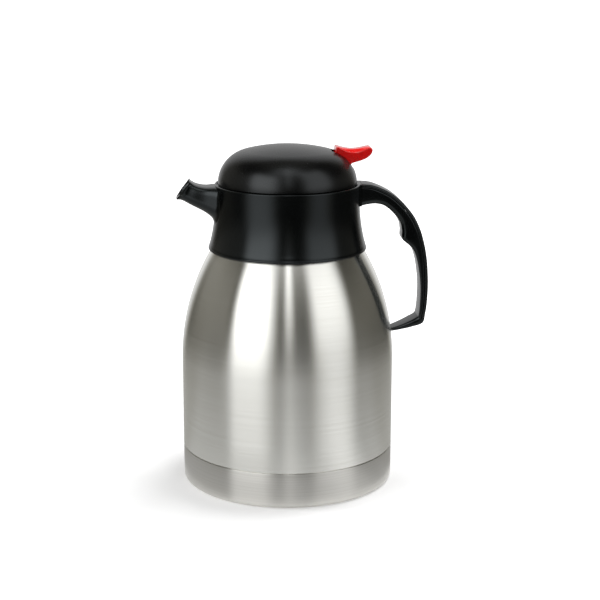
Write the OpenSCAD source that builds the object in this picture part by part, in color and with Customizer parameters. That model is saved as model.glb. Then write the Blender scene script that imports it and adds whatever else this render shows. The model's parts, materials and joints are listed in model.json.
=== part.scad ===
// Vacuum carafe with a lever valve in its lid: double-walled steel flask, moulded
// collar with spout and handle, screw-in stopper under a domed lid.
// Millimetres, +Z up, origin at the middle of the base, handle towards +X.

/* [Steel flask] */
// Outside radius of the steel body
body_r = 68; // [64:0.5:72]
// Height of the separate band around the base
band_h = 22.7; // [18:0.1:30]
// Width of the joint line above the band
band_gap = 0.4; // [0.2:0.1:0.8]
// Radius of the bottom edge
foot_edge = 3; // [2:0.5:5]
// Height of the recess under the base
foot_recess = 3; // [2:0.5:5]
// Width of the ring that the flask stands on
foot_ring = 7; // [5:0.5:12]
// Height of the shoulder, from where it starts to close in up to the collar
shoulder_h = 70.3; // [66:0.1:73]
// Radius of the arc that closes the shoulder
shoulder_arc = 137; // [130:1:150]
// Outside radius of the neck
neck_r = 38; // [37:0.5:39.5]
// Height of the neck's mouth above the collar's lower edge
neck_rise = 16.7; // [15:0.1:18]
// Thickness of the steel sheet
sheet = 0.6; // [0.5:0.1:0.8]
// Vacuum space between the two walls
vacuum = 5; // [4:0.5:7]
// Radius inside the bottom corner of the inner flask
inner_edge = 12; // [8:1:16]
// Height of the inner flask's floor
floor_z = 15; // [14:0.5:20]
// Height of the plate that closes the vacuum, above the recess
closing_lift = 5.5; // [5:0.5:6]
// Radius of the bead that seals the vacuum
plug_r = 2; // [1.5:0.1:3]

/* [Collar] */
// Height of the collar's lower edge
collar_z = 151.3; // [149:0.1:154]
// Height of the collar from its lower edge to its rim
collar_h = 41.8; // [40:0.1:46]
// Outside radius of the rim
rim_r = 46.2; // [46:0.1:48]
// Thickness of the collar's wall
wall = 2.2; // [1.8:0.1:2.6]
// Radius of the hollow curve of the collar's side
waist_arc = 115; // [90:1:160]
// How far the collar's foot stands out over the steel
foot_lip = 1.9; // [1.6:0.1:3]
// Height of the collar's foot
foot_h = 3.6; // [3:0.1:5]
// Thickness of the web that grips the neck
web = 3; // [2:0.5:4]

/* [Spout] */
// Reach of the spout's lip from the axis
spout_reach = 70; // [66:0.5:76]
// Wall of the spout
spout_wall = 1.8; // [1.4:0.1:2.2]
// Half of the width of the spout's mouth
mouth_half = 8.6; // [7:0.1:10]

/* [Handle] */
// Reach of the handle beyond its seat on the collar
handle_reach = 43.5; // [38:0.5:50]
// Height of the handle, from its top to its lower arm
handle_drop = 97; // [90:0.5:100]
// How far the flat seat of the handle stands out over the rim
pad_out = 0.4; // [0.4:0.1:1.5]
// Width of the handle
handle_w = 17; // [15:0.5:20]
// Thickness of the cover strip on the handle's back
cover_t = 2.2; // [1.6:0.1:3]
// Shank radius of the handle screws
handle_screw_r = 1.5; // [1.2:0.1:1.8]
// Depth that the handle screws reach into the handle
handle_screw_in = 9.5; // [8:0.5:11]

/* [Neck insert] */
// Wall of the sleeve that holds the lid's thread
sleeve_wall = 2.5; // [2.2:0.1:2.8]
// Depth of the seal ledge below the mouth
ledge_depth = 8; // [7:0.5:10]
// Thickness of the sleeve's ledge and flange
insert_t = 2.4; // [2:0.1:3.5]
// Thickness of the neck gasket
gasket_t = 1.5; // [1:0.1:2]

/* [Lid] */
// Step from the collar's rim in to the lid's lower edge
lid_step = 1.95; // [1.7:0.05:2.2]
// Wall of the lid
lid_wall = 2.2; // [1.8:0.1:2.6]
// Lean of the lid's side, in degrees
lid_lean = 5.4; // [3:0.1:8]
// Height of the lid's straight side
lid_side = 2.9; // [2:0.1:5]
// Radius of the lid's shoulder
lid_shoulder = 21.4; // [18:0.1:23]
// Radius of the lid's crown
lid_crown = 113.5; // [95:0.5:150]
// Open line between lid and collar
lid_line = 0.6; // [0.4:0.1:1]
// Radius of the screws that hold the lid to the stopper
lid_screw_r = 1.4; // [1.2:0.1:1.6]
// Depth that the lid screws reach into their bosses
lid_screw_in = 6; // [5:0.5:7]
// Radius of the screw bosses
boss_r = 3.4; // [3:0.1:3.8]

/* [Stopper] */
// Room for the thread between stopper and sleeve
thread_room = 2.4; // [2:0.1:3]
// Wall of the stopper
stopper_wall = 2.2; // [1.8:0.1:2.6]
// Length of the stopper below the seal ring
stopper_drop = 13; // [11:0.5:16]
// Number of pouring windows
windows = 6; // [4:1:8]
// Width of one pouring window
window_w = 19; // [14:0.5:21]
// Height of the pouring windows
window_h = 10; // [8:0.5:11]

/* [Valve and lever] */
// Radius of the valve hole in the stopper's floor
valve_r = 9; // [8:0.1:11]
// Radius of the valve stem
stem_r = 2; // [1.6:0.1:2.4]
// Distance of the lever's pin from the stem
arm = 33; // [32:0.1:34]
// Height of the lever's pin above the rim
pin_rise = 11.2; // [10.8:0.1:11.6]
// Radius of the lever's pin
pin_r = 1.5; // [1.2:0.1:1.8]
// Width of the lever
lever_w = 12; // [10:0.5:13]
// Travel of the lever, in degrees
press = 10; // [8:1:11]
// How far the valve's disc reaches beyond the hole
disc_lip = 4; // [3:0.1:5]
// Thickness of the valve's disc
disc_t = 1.6; // [1.4:0.1:2]
// Wall of the valve's hub around the stem
hub_wall = 2; // [1.6:0.1:2.2]
// Mean radius of the valve spring
spring_r = 4.9; // [4.7:0.1:5.5]
// Wire of the valve spring
wire = 0.9; // [0.7:0.1:1.1]
// Number of turns of the valve spring
coils = 6; // [5:1:8]

/* [Clearances] */
// Gap between faces that are fixed together
seat = 0.05; // [0.02:0.01:0.1]
// Radial gap of a shaft in its bearing
running = 0.05; // [0.03:0.01:0.08]
// Gap between parts that move past each other
free = 0.3; // [0.3:0.05:0.4]

/* [Hidden] */
$fn = 96;

black = [0.07, 0.07, 0.075];
steel = [0.72, 0.71, 0.69];
red = [0.78, 0.03, 0.02];
silicone = [0.86, 0.86, 0.84];

sleeve_r = neck_r - 2 * sheet - 1.3;     // outside of the insert's sleeve
insert_bore = sleeve_r - sleeve_wall;
stopper_r = insert_bore - thread_room;
lid_r = rim_r - lid_step;
shoulder_z = collar_z - shoulder_h;
rim_z = collar_z + collar_h;
mouth_z = collar_z + neck_rise;
tuck_z = collar_z + 4.2;                 // where the shell turns in under the collar
insert_z = mouth_z + sheet + gasket_t;   // underside of the insert's flange
gutter_z = insert_z + insert_t;          // floor of the pouring gutter
ledge_z = mouth_z - ledge_depth;         // face that the seal ring sits on
lid_z = rim_z - 0.7;                     // lower edge of the lid
rest_z = lid_z - free;                   // ledge in the rim under the lid
plate_z = rim_z + 1.4;                   // top of the stopper's plate
plate_t = 2.5;
pin_z = rim_z + pin_rise;

function shell_r(z, inset = 0) = body_r - shoulder_arc
    + sqrt(pow(shoulder_arc - inset, 2) - pow(z - shoulder_z, 2));

// Centre of a circle of radius r that bulges to the left of the line from a to b
function arc_centre(a, b, r) = let (d = b - a, l = norm(d))
    (a + b) / 2 + [d[1], -d[0]] / l * sqrt(r * r - l * l / 4);

// Half section of the flask's form, set in by inset, with its own neck and floor
module flask_area(inset, neck, low, edge, top) {
    r = body_r - inset;
    translate([0, low + edge]) square([r, shoulder_z - low - edge]);
    if (edge > 0) {
        translate([0, low]) square([r - edge, edge]);
        intersection() {
            translate([r - edge, low + edge]) circle(edge);
            translate([0, low]) square([r, edge]);
        }
    }
    intersection() {
        translate([body_r - shoulder_arc, shoulder_z]) circle(shoulder_arc - inset, $fn = 360);
        translate([0, shoulder_z - 2]) square([r, tuck_z - shoulder_z + 2]);
    }
    polygon([[0, tuck_z - 2], [shell_r(tuck_z, inset) - 2, tuck_z - 2],
             [shell_r(tuck_z, inset), tuck_z], [neck, tuck_z + 4], [neck, top], [0, top]]);
}

// The outer wall: its lower end steps in and slips into the base band
module outer_shell() color(steel) rotate_extrude() {
    low = band_h + band_gap;
    slip = body_r - sheet - seat;
    difference() {
        flask_area(0, neck_r, low, 0, mouth_z);
        flask_area(sheet, neck_r - sheet, low - 1, 0, mouth_z + 1);
    }
    translate([slip - sheet, foot_recess + 5]) square([sheet, low - foot_recess - 2.5]);
    translate([slip - sheet, low + 0.5]) square([sheet * 1.5, 1.5]);
}

// The plate that closes the vacuum space from below, with a dimple for the plug
module shell_bottom() color(steel) difference() {
    r = body_r - 2 * sheet - 2 * seat;
    z = foot_recess + closing_lift;
    rotate_extrude() {
        translate([r - sheet, z]) square([sheet, 4]);
        polygon([[0, z + 2], [r - 14, z + 2], [r - 10, z], [r, z], [r, z + sheet],
                 [r - 9.6, z + sheet], [r - 13.6, z + 2 + sheet], [0, z + 2 + sheet]]);
    }
    translate([0, 0, z]) cylinder(r = plug_r, h = 4);
}

// The bead that seals the vacuum, in the hole of the bottom plate
module vacuum_plug() color("silver") rotate_extrude() {
    z = foot_recess + closing_lift;
    polygon([[0, z + 1.2], [plug_r + 1, z + 1.2], [plug_r + 1, z + 2 - seat],
             [plug_r - seat, z + 2 - seat], [plug_r - seat, z + 3.2], [0, z + 3.2]]);
}

// The inner flask, with its lip folded out over the outer wall
module inner_flask() color(steel) rotate_extrude() {
    inset = sheet + vacuum;
    neck = neck_r - sheet - 1;
    difference() {
        flask_area(inset, neck, floor_z, inner_edge, mouth_z + sheet);
        flask_area(inset + sheet, neck - sheet, floor_z + sheet, inner_edge - sheet, mouth_z + 2);
    }
    translate([neck - sheet, mouth_z]) square([neck_r - neck + sheet, sheet]);
}

// The getter that keeps the vacuum, clipped under the inner flask
module getter() color("dimgray") {
    x = body_r / 3;
    d = 10;
    translate([x, 0, floor_z - 1.6 - seat]) cylinder(d = d, h = 1.6);
    translate([x - d, -2, floor_z - 0.4 - seat]) cube([2 * d, 4, 0.4]);
}

// The band around the base: a drawn cup with a standing ring and a raised middle
module base_band() color([0.66, 0.65, 0.63]) rotate_extrude() {
    inner = body_r - foot_edge - foot_ring;
    difference() {
        union() {
            translate([0, foot_edge]) square([body_r, band_h - foot_edge]);
            square([body_r - foot_edge, foot_edge + 1]);
            translate([body_r - foot_edge, foot_edge]) circle(foot_edge);
        }
        difference() {
            translate([0, sheet]) square([body_r - sheet, band_h]);
            translate([body_r - foot_edge, 0]) difference() {
                square(foot_edge);
                translate([0, foot_edge]) circle(foot_edge - sheet);
            }
            polygon([[0, 0], [inner + sheet, 0], [inner + sheet, foot_recess],
                     [inner, foot_recess + sheet], [0, foot_recess + sheet]]);
        }
        polygon([[-1, -1], [inner, -1], [inner, foot_recess - 0.6],
                 [inner - 0.6, foot_recess], [-1, foot_recess]]);
    }
}

// ---- collar -----------------------------------------------------------------

foot_r = shell_r(collar_z) + foot_lip;
waist_low = [foot_r - 0.9, collar_z + foot_h];
waist_top = [rim_r, rim_z];
waist_c = arc_centre(waist_low, waist_top, waist_arc);
function collar_r(z) = waist_c[0] - sqrt(pow(waist_arc, 2) - pow(z - waist_c[1], 2));

module collar_area(inset) difference() {
    polygon([[0, collar_z + foot_h - 1], [waist_low[0] - inset, collar_z + foot_h - 1],
             [waist_low[0] - inset, waist_low[1]], [waist_top[0] - inset, rim_z], [0, rim_z]]);
    intersection() {
        translate(waist_c) circle(waist_arc + inset, $fn = 360);
        translate([0, waist_low[1]]) square([2 * body_r, collar_h]);
    }
}

module collar_foot_area() {
    bead = 1;
    polygon([[0, collar_z], [foot_r - bead, collar_z], [foot_r, collar_z + bead],
             [foot_r - 0.1, collar_z + 1.8], [waist_low[0] + 0.3, waist_low[1] - 0.6],
             waist_low, [0, waist_low[1]]]);
    translate([foot_r - bead, collar_z + bead]) circle(bead);
}

// Everything inside the collar: over the shell, through the web, and the gutter
module collar_hollow_area() {
    clear = seat + 0.25;
    flask_area(-clear, neck_r + clear, band_h, 0, insert_z - web);
    square([neck_r + clear, rim_z + 1]);
    intersection() {
        collar_area(wall);
        translate([0, insert_z]) square([body_r, rest_z - ledge_h - insert_z]);
    }
    translate([0, rest_z - 2 * ledge_h]) square([lid_r - 1.2, 3 * ledge_h]);
    translate([0, rest_z]) square([lid_r + lid_line, 2]);
}

// Half an oval section between an upper and a lower point, squarer above than below
function oval(up, low, half, square_up, square_low, n) = [for (i = [0 : n - 1])
    let (a = 360 * i / n, e = sin(a) >= 0 ? square_up : square_low,
         s = sign(sin(a)) * pow(abs(sin(a)), e), c = sign(cos(a)) * pow(abs(cos(a)), e),
         m = (up + low) / 2, h = (up - low) / 2)
    [m[0] + h[0] * s, half * c, m[1] + h[1] * s]];

// A solid through a row of rings that all have the same number of points
module loft(rings) {
    n = len(rings[0]);
    last = len(rings) - 1;
    points = [for (r = rings) for (p = r) p];
    sides = [for (k = [0 : last - 1]) for (i = [0 : n - 1])
        let (a = k * n + i, b = k * n + (i + 1) % n) each [[a, b, a + n], [b, b + n, a + n]]];
    ends = [[for (i = [n - 1 : -1 : 0]) i], [for (i = [0 : n - 1]) last * n + i]];
    polyhedron(points, concat(sides, ends), convexity = 8);
}

// A smooth curve through a row of stations, with steps points from one to the next
function smooth(rows, steps) = let (last = len(rows) - 1)
    [for (k = [0 : last]) for (s = [0 : (k == last ? 0 : steps - 1)])
        let (t = s / steps, a = rows[max(k - 1, 0)], b = rows[k],
             c = rows[min(k + 1, last)], d = rows[min(k + 2, last)])
        (2 * b + (c - a) * t + (2 * a - 5 * b + 4 * c - d) * t * t
            + (3 * b - a - 3 * c + d) * t * t * t) / 2];

// Stations of the spout: distance inwards from its lip and height below the rim,
// for the deck and then for the underside, and how much of the width is added
spout_rows = [
    [32, 0.9, 30, 26, 6.5],
    [24, 0.8, 23, 21.6, 4],
    [18, 1.1, 17, 17.2, 2],
    [12.6, 0, 9, 13.0, 0.7],
    [9.4, -1.8, 3, 9.8, -0.3],
    [8.3, -3.1, 0, 9.5, 0.4]];

module spout(inset, run) {
    rows = smooth([for (r = spout_rows) r], 2);
    lip = (rows[len(rows) - 1] - rows[len(rows) - 2]) * run;
    loft([for (r = concat(rows, run > 0 ? [rows[len(rows) - 1] + lip] : []))
        oval([-spout_reach + r[0], rim_z - r[1] - inset], [-spout_reach + r[2], rim_z - r[3] + inset],
             mouth_half + r[4] - inset, 0.55, 0.8, 20)]);
}

pad_h = 14.2;
pad_t = 8;
pad_x = max(rim_r, collar_r(rim_z - pad_h)) + pad_out;
ledge_h = 1.4;                           // thickness of the ledge under the lid
screw_zs = [rim_z - 6, rim_z - 11.6];

module collar() color(black) difference() {
    union() {
        rotate_extrude() {
            collar_area(0);
            collar_foot_area();
        }
        spout(0, 0);
        translate([pad_x - pad_t, -handle_w / 2 - 0.4, rim_z - pad_h]) cube([pad_t, handle_w + 0.8, pad_h]);
    }
    rotate_extrude() collar_hollow_area();
    spout(spout_wall, 2);
    for (z = screw_zs) translate([0, 0, z]) rotate([0, 90, 0]) cylinder(r = handle_screw_r + 0.2, h = pad_x + 1);
}

// ---- neck -------------------------------------------------------------------

insert_flange_r = min(collar_r(insert_z), collar_r(gutter_z)) - wall - free;
seal_hole = insert_bore - 3.7;

// The sleeve in the neck that takes the lid's thread and ends in the seal ledge
module neck_insert() color([0.2, 0.2, 0.21]) rotate_extrude() {
    polygon([[seal_hole, ledge_z - insert_t], [sleeve_r - 1, ledge_z - insert_t], [sleeve_r, ledge_z],
             [sleeve_r, insert_z + seat], [insert_flange_r, insert_z + seat], [insert_flange_r, gutter_z - 1],
             [insert_flange_r - 1, gutter_z], [insert_bore + 1, gutter_z], [insert_bore, gutter_z - 1],
             [insert_bore, ledge_z], [seal_hole, ledge_z]]);
}

module neck_gasket() color(silicone) rotate_extrude()
    translate([sleeve_r + 0.3, mouth_z + sheet]) square([neck_r - sleeve_r - 0.3, gasket_t]);

// ---- handle -----------------------------------------------------------------

// Stations of the handle as shares of its reach and drop: back x, back z, inner x,
// inner z, and share of the width
grip_rows = [
    [0, 0, 0, 0.145, 1.04],
    [0.138, 0.006, 0.099, 0.136, 1.02],
    [0.287, 0.029, 0.218, 0.133, 1],
    [0.46, 0.071, 0.345, 0.149, 1],
    [0.632, 0.139, 0.471, 0.197, 1],
    [0.775, 0.219, 0.57, 0.258, 1],
    [0.869, 0.306, 0.6, 0.316, 1],
    [0.915, 0.372, 0.607, 0.37, 1],
    [0.94, 0.417, 0.715, 0.415, 1],
    [0.961, 0.464, 0.791, 0.46, 1],
    [0.986, 0.551, 0.848, 0.551, 1],
    [1, 0.681, 0.885, 0.681, 1],
    [0.991, 0.794, 0.883, 0.804, 1],
    [0.968, 0.876, 0.867, 0.881, 1],
    [0.931, 0.939, 0.839, 0.901, 0.98]];
// The lower arm, as shares of the way from its tip to the corner of the grip
arm_rows = [
    [0.668, 0.965, 0.748, 0.924, 0.93],
    [0.347, 0.983, 0.409, 0.951, 0.84],
    [0, 0.999, 0, 0.977, 0.74]];

handle_x = pad_x + seat;
tip_z = rim_z - handle_drop;
tip_x = (tip_z < shoulder_z ? body_r : shell_r(tip_z)) + seat + 0.1;
function grip_station(r) = [handle_x + handle_reach * r[0], rim_z - handle_drop * r[1],
    handle_x + handle_reach * r[2], rim_z - handle_drop * r[3], handle_w / 2 * r[4]];
corner = grip_station(grip_rows[len(grip_rows) - 1]);
function arm_station(r) = [tip_x + (corner[0] - tip_x) * r[0], rim_z - handle_drop * r[1],
    tip_x + (corner[2] - tip_x) * r[2], rim_z - handle_drop * r[3], handle_w / 2 * r[4]];
handle_line = smooth(concat([for (r = grip_rows) grip_station(r)], [for (r = arm_rows) arm_station(r)]), 3);
cover_end = (len(grip_rows) - 1) * 3 - 1;    // the strip stops just before the corner

// A point at a distance from the back of the handle, across one of its stations
function across(row, t) = let (o = [row[0], row[1]], i = [row[2], row[3]]) o + (i - o) * t / norm(i - o);

// One ring of the grip, with its back set in by t
function grip_ring(row, t) = oval(across(row, t), [row[2], row[3]], row[4], 0.4, 0.5, 20);

// The grip is cut back under the cover strip and full again below it
module handle() color(black) difference() {
    end = handle_line[cover_end];
    next = handle_line[cover_end + 1];
    below = end + (next - end) * 2 * seat / norm([next[0] - end[0], next[1] - end[1]]);
    loft([for (k = [0 : cover_end]) grip_ring(handle_line[k], cover_t + seat),
          grip_ring(below, 0),
          for (k = [cover_end + 1 : len(handle_line) - 1]) grip_ring(handle_line[k], 0)]);
    for (z = screw_zs) translate([handle_x - 1, 0, z]) rotate([0, 90, 0])
        cylinder(r = handle_screw_r + seat, h = handle_screw_in + 1.5);
}

module handle_cover() color([0.1, 0.1, 0.105])
    loft([for (k = [0 : cover_end]) let (r = handle_line[k])
        oval([r[0], r[1]], across(r, cover_t), r[4], 0.55, 0.35, 16)]);

// Two screws through the collar's seat into the root of the handle
module handle_screws() color(steel) for (z = screw_zs) {
    head_x = collar_r(z) - wall - 2;
    translate([head_x, 0, z]) rotate([0, 90, 0]) difference() {
        union() {
            cylinder(r = 1.75 * handle_screw_r, h = 1.6);
            cylinder(r = handle_screw_r, h = handle_x + handle_screw_in - head_x);
        }
        for (a = [0, 90]) rotate(a) translate([-1.6, -0.3, -1]) cube([3.2, 0.6, 1.8]);
    }
}

// ---- lid --------------------------------------------------------------------

// Half section of the dome: straight side, shoulder arc and crown arc, all tangent
module dome_area(inset) {
    side = [lid_r - lid_side * tan(lid_lean), lid_z + lid_side];
    c = side - lid_shoulder * [cos(lid_lean), sin(lid_lean)];
    crown_z = c[1] - sqrt(pow(lid_crown - lid_shoulder, 2) - pow(c[0], 2));
    up = (c - [0, crown_z]) * (lid_crown - inset) / (lid_crown - lid_shoulder);
    turn = inset * [cos(lid_lean), sin(lid_lean)];
    polygon([[0, lid_z], [lid_r, lid_z] - [inset / cos(lid_lean), 0], side - turn, c, [0, crown_z] + up,
             [0, crown_z + up[1]]]);
    intersection() {
        translate(c) circle(lid_shoulder - inset);
        translate(c) square(2 * lid_shoulder);
    }
    translate(c) difference() {
        circle(lid_shoulder - inset);
        translate([-lid_shoulder - 1, -2 * lid_shoulder]) square([lid_shoulder * 3, 2 * lid_shoulder]);
        translate([-2 * lid_shoulder, -1]) square([2 * lid_shoulder, lid_shoulder * 2]);
    }
    intersection() {
        translate([0, crown_z]) circle(lid_crown - inset, $fn = 360);
        translate([0, lid_z + lid_side]) square([up[0], lid_crown]);
    }
}

boss_at = [for (a = [60, 180, 300]) (stopper_r + lid_r - lid_wall) / 2 * [cos(a), sin(a)]];
slot_w = lever_w + 2 * free + 0.4;
slot_low = pin_z - 2.3;
slot_in = arm - 5.4;

// The domed lid, with a slot at the back for the lever and three screw bosses
module lid_dome() color(black) difference() {
    union() {
        rotate_extrude() difference() {
            dome_area(0);
            dome_area(lid_wall);
        }
        intersection() {
            for (p = boss_at) translate([p[0], p[1], plate_z + seat]) cylinder(r = boss_r, h = lid_shoulder);
            rotate_extrude() dome_area(lid_wall / 2);
        }
    }
    translate([slot_in, -slot_w / 2, slot_low]) cube([lid_r, slot_w, lid_r]);
    for (p = boss_at) translate([p[0], p[1], plate_z - 1]) cylinder(r = lid_screw_r + seat, h = lid_screw_in + 2);
}

module lid_screws() color(steel) for (p = boss_at) translate([p[0], p[1], plate_z - plate_t - 1.8]) difference() {
    union() {
        cylinder(r = 2 * lid_screw_r, h = 1.8);
        cylinder(r = lid_screw_r, h = 1.8 + plate_t + lid_screw_in);
    }
    for (a = [0, 90]) rotate(a) translate([-1.5, -0.3, -1]) cube([3, 0.6, 1.8]);
}

// ---- stopper ----------------------------------------------------------------

chamber_r = seal_hole - free - 0.3;
seal_t = 2;
seal_z = ledge_z;
bottom_z = ledge_z - stopper_drop;
window_z = plate_z - plate_t - 4 - window_h;
ear_t = 3;
ear_y = lever_w / 2 + free + 0.1;
guide_r = 6.5;
guide_z = window_z - 3;
seat_z = bottom_z + stopper_wall + 1.2;  // rim of the valve hole

module stopper_area() {
    difference() {
        union() {
            translate([0, bottom_z]) square([chamber_r, ledge_z - bottom_z + seal_t + 1]);
            translate([0, seal_z + seal_t]) square([stopper_r, plate_z - seal_z - seal_t]);
            translate([0, plate_z - plate_t]) square([lid_r - lid_wall - 0.6, plate_t]);
        }
        translate([chamber_r - 1.5, bottom_z - 0.01]) polygon([[0, 0], [1.6, 0], [1.6, 1.6]]);
        translate([chamber_r - 1, seal_z - seat]) square([2, seal_t + 2 * seat]);
        translate([0, bottom_z + stopper_wall])
            square([chamber_r - stopper_wall, plate_z - plate_t - bottom_z - stopper_wall]);
        translate([0, seal_z + seal_t + 3]) square([stopper_r - stopper_wall, plate_z - plate_t - seal_z - seal_t - 3]);
        square([valve_r, plate_z - plate_t - 1]);
    }
    translate([valve_r, bottom_z + stopper_wall - 1]) square([1.2, seat_z - bottom_z - stopper_wall + 1]);
    translate([0, guide_z]) square([guide_r, plate_z - guide_z]);
}

module ear_area() {
    circle(r = pin_r + 1.7);
    translate([-pin_r - 1.7, plate_z - pin_z - 0.5]) square([2 * pin_r + 3.4, pin_z - plate_z + 0.5]);
}

// The stopper: valve chamber below, pouring windows around, plate and pin ears above
module stopper_body() color([0.13, 0.13, 0.135]) difference() {
    union() {
        rotate_extrude() stopper_area();
        for (y = [-ear_y - ear_t, ear_y]) translate([arm, y + ear_t, pin_z]) rotate([90, 0, 0])
            linear_extrude(ear_t) ear_area();
    }
    for (i = [0 : windows - 1]) rotate(180 + 360 * i / windows)
        translate([stopper_r - 2 * stopper_wall, -window_w / 2, window_z])
            cube([3 * stopper_wall, window_w, window_h]);
    translate([0, 0, guide_z - 1]) cylinder(r = stem_r + running, h = plate_z);
    translate([0, 0, plate_z - 2]) cylinder(r = stem_seal_r + seat, h = 3);
    translate([arm, 0, pin_z]) rotate([90, 0, 0]) cylinder(r = pin_r + 0.02, h = 2 * (ear_y + ear_t) + 2, center = true);
    for (p = boss_at) translate([p[0], p[1], plate_z - plate_t - 1]) cylinder(r = lid_screw_r + 0.15, h = plate_t + 2);
}

module stopper_seal() color(silicone) rotate_extrude()
    translate([chamber_r - 1 + seat, seal_z]) square([insert_bore - 2 - chamber_r + 1, seal_t]);

stem_seal_r = 4.2;
module stem_seal() color(silicone) rotate_extrude()
    translate([stem_r + running, plate_z - 2]) square([stem_seal_r - stem_r - running, 2.4]);

module lever_pin() color(steel) translate([arm, 0, pin_z]) rotate([90, 0, 0])
    cylinder(r = pin_r, h = 2 * (ear_y + ear_t) - 0.4, center = true);

// ---- valve and lever --------------------------------------------------------

fork_r = 2;
fork_z = pin_z - 1.5;
fork_gap = stem_r + free + 0.3;
cap_z = fork_z + fork_r + 0.2;
head_z = seat_z + 1.5 + seat;

// Outline of the thumb tail, as steps from the pin: it leaves the slot and spreads
// into a shallow saddle
tail = [[-3.2, 0.6], [-3.6, 4.5], [-3.4, 9.4], [-2.6, 11.9], [-1.2, 12.2], [3, 11.2], [7.2, 10.6],
        [11.6, 10.9], [17.6, 12.0], [19.2, 11.7], [20.3, 10.6], [20.3, 9.2], [19.2, 7.0], [16.4, 4.8],
        [12.4, 3.2], [7.4, 1.7], [7.0, -0.3], [5.6, -1.6], [1, -3.2]];

module lever_area() {
    polygon(smooth(tail, 2));
    circle(r = pin_r + 1.8);
}

module pour_lever() color(red) difference() {
    union() {
        translate([arm, 0, pin_z]) rotate([90, 0, 0]) linear_extrude(lever_w, center = true) lever_area();
        translate([0, 0, fork_z]) rotate([90, 0, 0]) cylinder(r = fork_r, h = lever_w, center = true);
        translate([0, -lever_w / 2, fork_z - fork_r]) cube([arm, lever_w, 2 * fork_r]);
    }
    translate([-fork_r - 1, -fork_gap, fork_z - fork_r - 1]) cube([fork_r + 1 + 8, 2 * fork_gap, 2 * fork_r + 2]);
    translate([arm, 0, pin_z]) rotate([90, 0, 0]) cylinder(r = pin_r + running, h = lever_w + 2, center = true);
}

module valve_stem() color(steel) translate([0, 0, seat_z - 2]) cylinder(r = stem_r, h = cap_z + 1.4 - seat_z + 2);

module stem_cap() color([0.16, 0.16, 0.165]) translate([0, 0, cap_z]) difference() {
    cylinder(r = lever_w / 2 - 0.6, h = 2.4);
    translate([0, 0, -1]) cylinder(r = stem_r + 0.02, h = 2.42);
}

module valve_head() color([0.16, 0.16, 0.165]) rotate_extrude() {
    translate([stem_r + 0.02, head_z]) square([valve_r + disc_lip - stem_r, disc_t]);
    translate([stem_r + 0.02, head_z]) square([hub_wall, disc_t + 2.4]);
    translate([stem_r + 0.02, seat_z - 2]) square([hub_wall + 1.5, head_z - seat_z + 2.5]);
}

module valve_seal() color(silicone) rotate_extrude()
    translate([stem_r + hub_wall + 1.6, seat_z + seat]) square([valve_r + 0.2, head_z - seat_z - seat]);

// The coil spring between the stem's guide and the valve head
module valve_spring() color("silver") {
    low = head_z + disc_t + wire / 2 + seat;
    high = guide_z - wire / 2 - seat;
    steps = coils * 16;
    loft([for (k = [0 : steps]) let (a = 360 * coils * k / steps, z = low + (high - low) * k / steps)
        [for (i = [0 : 5]) let (b = -60 * i, r = spring_r + wire / 2 * cos(b))
            [r * cos(a), r * sin(a), z + wire / 2 * sin(b)]]]);
}

outer_shell();
shell_bottom();
vacuum_plug();
inner_flask();
getter();
base_band();
collar();
neck_insert();
neck_gasket();
handle();
handle_cover();
handle_screws();
lid_dome();
lid_screws();
stopper_body();
stopper_seal();
lever_pin();
stem_seal();
pour_lever();
valve_stem();
stem_cap();
valve_head();
valve_seal();
valve_spring();
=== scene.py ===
import json
import math
import bpy
import bmesh
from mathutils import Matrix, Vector


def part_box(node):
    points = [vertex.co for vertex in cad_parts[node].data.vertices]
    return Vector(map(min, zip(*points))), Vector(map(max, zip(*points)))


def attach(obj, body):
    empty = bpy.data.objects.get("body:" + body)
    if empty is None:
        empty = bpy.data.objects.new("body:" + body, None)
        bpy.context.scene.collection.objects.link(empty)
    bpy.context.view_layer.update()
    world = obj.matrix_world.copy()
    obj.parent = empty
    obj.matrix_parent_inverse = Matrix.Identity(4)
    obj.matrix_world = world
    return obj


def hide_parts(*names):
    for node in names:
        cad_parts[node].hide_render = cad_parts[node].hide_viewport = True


mm = 0.001
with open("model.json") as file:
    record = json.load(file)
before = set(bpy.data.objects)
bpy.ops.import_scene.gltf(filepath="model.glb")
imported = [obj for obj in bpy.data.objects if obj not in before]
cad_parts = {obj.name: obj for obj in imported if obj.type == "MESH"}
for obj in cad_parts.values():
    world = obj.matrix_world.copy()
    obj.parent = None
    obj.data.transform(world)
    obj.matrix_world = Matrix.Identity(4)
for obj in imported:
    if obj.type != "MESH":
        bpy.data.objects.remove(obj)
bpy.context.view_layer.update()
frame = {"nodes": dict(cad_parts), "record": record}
print("frame loaded:", len(frame["nodes"]), "nodes")


def low(node):
    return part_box(node)[0] / mm


def high(node):
    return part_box(node)[1] / mm


# Heights and radii that several pieces share, in millimetres
rimTop = high("handle_cover").z
lidLow = low("lid_dome").z
lidRadius = high("lid_dome").x
rimRadius = lidRadius + 1.95
neckTop = low("neck_gasket").z


def smoothShade(obj, crease=32):
    obj.data.shade_smooth()
    obj.data.set_sharp_from_angle(angle=math.radians(crease))
    return obj


def meshObject(name, points, faces, crease=32):
    bm = bmesh.new()
    verts = [bm.verts.new(Vector(p) * mm) for p in points]
    for face in faces:
        bm.faces.new([verts[i] for i in face])
    bmesh.ops.remove_doubles(bm, verts=bm.verts, dist=0.002 * mm)
    bmesh.ops.recalc_face_normals(bm, faces=bm.faces)
    mesh = bpy.data.meshes.new(name)
    bm.to_mesh(mesh)
    bm.free()
    obj = bpy.data.objects.new(name, mesh)
    bpy.context.scene.collection.objects.link(obj)
    return smoothShade(obj, crease)


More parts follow.
